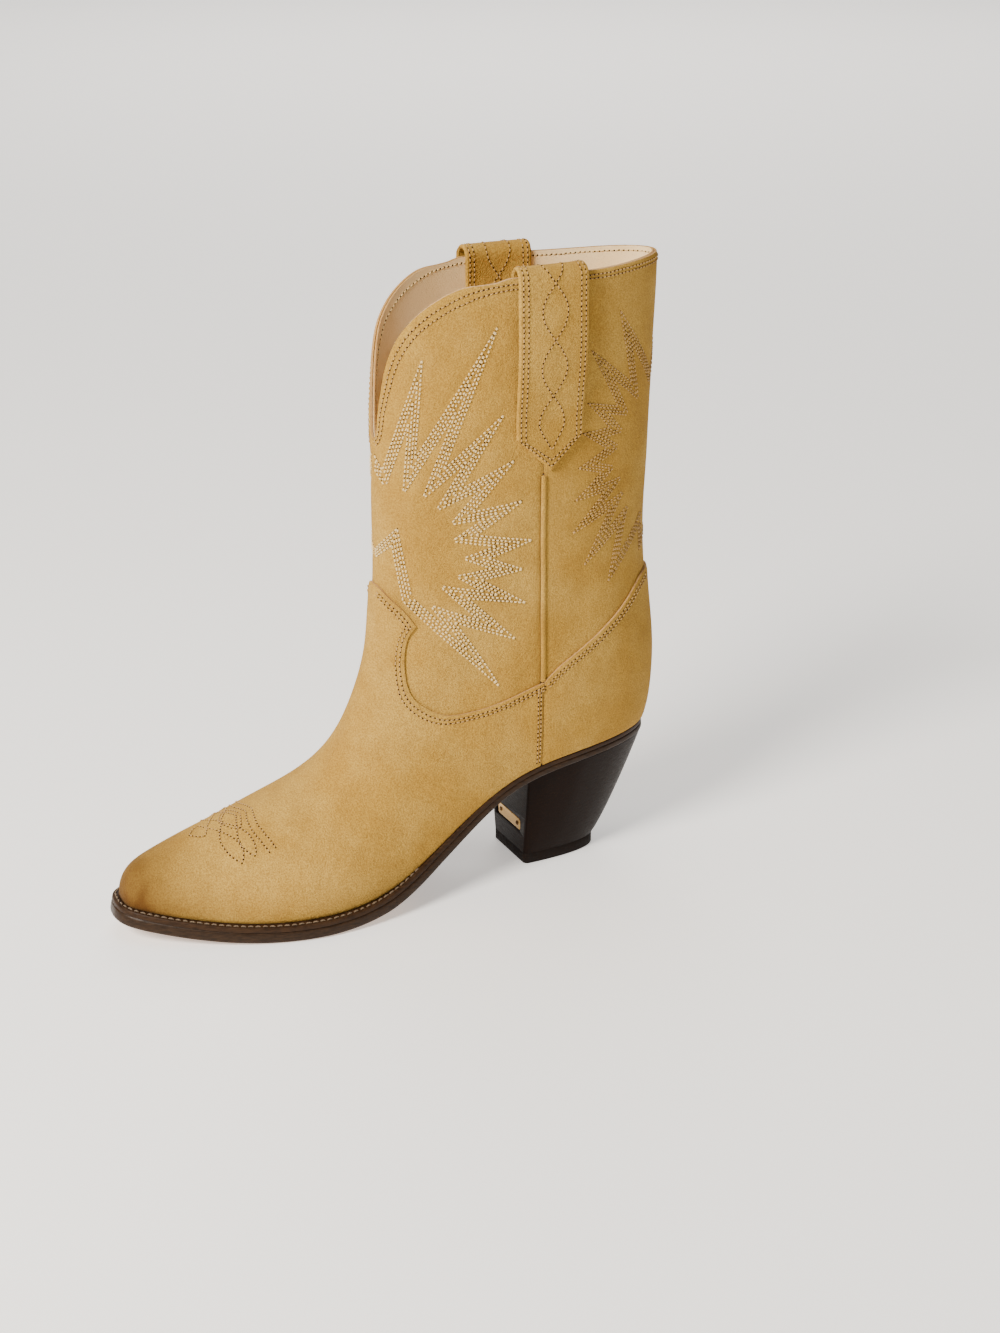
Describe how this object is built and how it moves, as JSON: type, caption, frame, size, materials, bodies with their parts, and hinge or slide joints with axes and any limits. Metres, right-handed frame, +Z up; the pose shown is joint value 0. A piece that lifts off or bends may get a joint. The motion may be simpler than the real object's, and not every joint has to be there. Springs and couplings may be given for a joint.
{
  "type": "cowboy boot",
  "caption": "Western ankle-length cowboy boot in suede with scalloped top, pull straps, pointed toe, welted leather sole and underslung heel.",
  "frame": {"origin": "on the ground under the middle of the boot's bounding box", "axes": "+Z up, -Y toward the toe, +X toward the inner side of this right boot"},
  "size_m": [0.099, 0.2764, 0.2969],
  "materials": {
    "suede": "matte suede nap",
    "lining_leather": "smooth satin lining leather",
    "stiffener_board": "resin-stiffened cloth",
    "insole_leather": "matte vegetable-tanned leather",
    "cork": "granular cork",
    "steel": "brushed",
    "sole_leather": "dark brown burnished edge",
    "welt_leather": "dark brown leather",
    "thread": "waxed thread",
    "stacked_heel": "burnished stacked leather",
    "lift_rubber": "matte rubber",
    "brass": "brushed brass"
  },
  "bodies": {
    "root": {"vamp": "suede", "counter": "suede", "shaft_front": "suede", "shaft_back": "suede", "side_piping_inner": "suede", "side_piping_outer": "suede", "pull_strap_inner": "suede", "pull_strap_outer": "suede", "vamp_lining": "lining_leather", "shaft_lining_front": "lining_leather", "shaft_lining_back": "lining_leather", "sock_lining": "lining_leather", "toe_puff": "stiffener_board", "counter_stiffener": "stiffener_board", "insole": "insole_leather", "cork_filler": "cork", "shank": "steel", "outsole": "sole_leather", "welt": "welt_leather", "heel_rand": "welt_leather", "welt_thread": "thread", "heel_block": "stacked_heel", "top_lift": "lift_rubber", "heel_plate": "brass", "heel_plate_screw_1": "brass", "heel_plate_screw_2": "brass", "heel_screw": "steel", "heel_nail_1": "steel", "heel_nail_2": "steel", "heel_nail_3": "steel", "heel_nail_4": "steel", "heel_nail_5": "steel", "top_lift_pin_1": "brass", "top_lift_pin_2": "brass", "top_lift_pin_3": "brass"}
  },
  "joints": []
}
